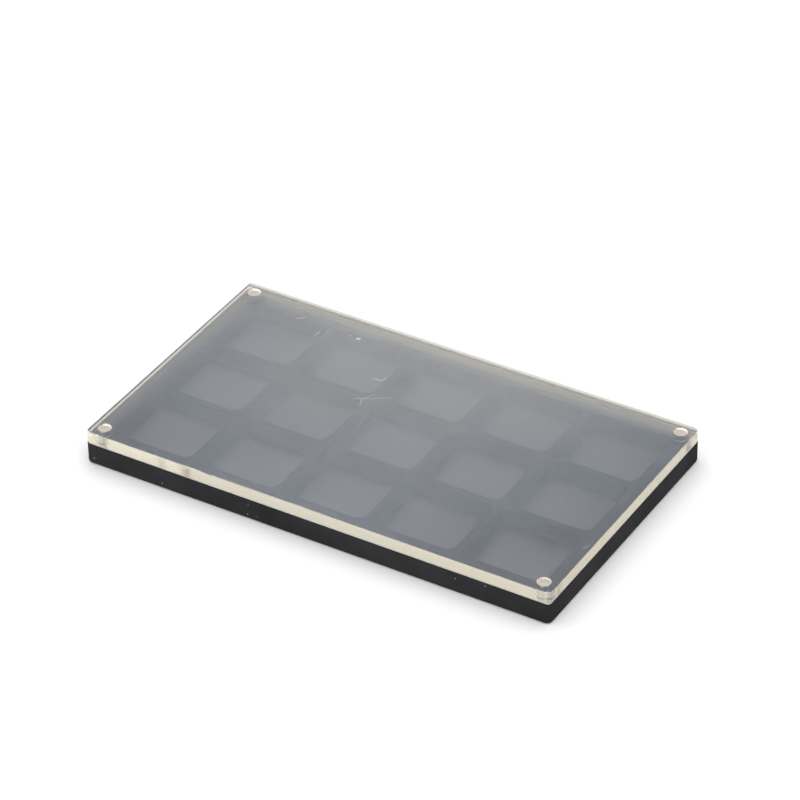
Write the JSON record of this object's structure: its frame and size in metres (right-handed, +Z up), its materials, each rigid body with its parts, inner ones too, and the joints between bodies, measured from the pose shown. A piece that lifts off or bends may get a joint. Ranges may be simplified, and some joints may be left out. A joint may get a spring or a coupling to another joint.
{
  "type": "wet palette",
  "caption": "Flat rectangular paint palette: a black tray of shallow wells under a thick clear plate with a translucent seal sheet, held shut by small disc magnets at the corners.",
  "frame": {"origin": "middle of the tray's underside", "axes": "+X along the long side to the right, +Y to the back, +Z up through the lid"},
  "size_m": [0.1906, 0.1106, 0.0135],
  "materials": {
    "tray_plastic": "satin black moulded plastic",
    "clear_acrylic": "polished clear acrylic, faintly warm at its edges",
    "milky_silicone": "milky translucent, smooth",
    "magnet_nickel": "dull nickel plate"
  },
  "bodies": {
    "base": {"tray": "tray_plastic", "tray_magnet_front_left": "magnet_nickel", "tray_magnet_front_right": "magnet_nickel", "tray_magnet_back_right": "magnet_nickel", "tray_magnet_back_left": "magnet_nickel"},
    "cover": {"lid_plate": "clear_acrylic", "seal_sheet": "milky_silicone", "lid_magnet_front_left": "magnet_nickel", "lid_magnet_front_right": "magnet_nickel", "lid_magnet_back_right": "magnet_nickel", "lid_magnet_back_left": "magnet_nickel"}
  },
  "joints": [
    {"name": "lid_lift", "type": "slide", "parent": "base", "child": "cover", "axis": [0, 0, 1], "range_m": [0, 0.05]}
  ]
}
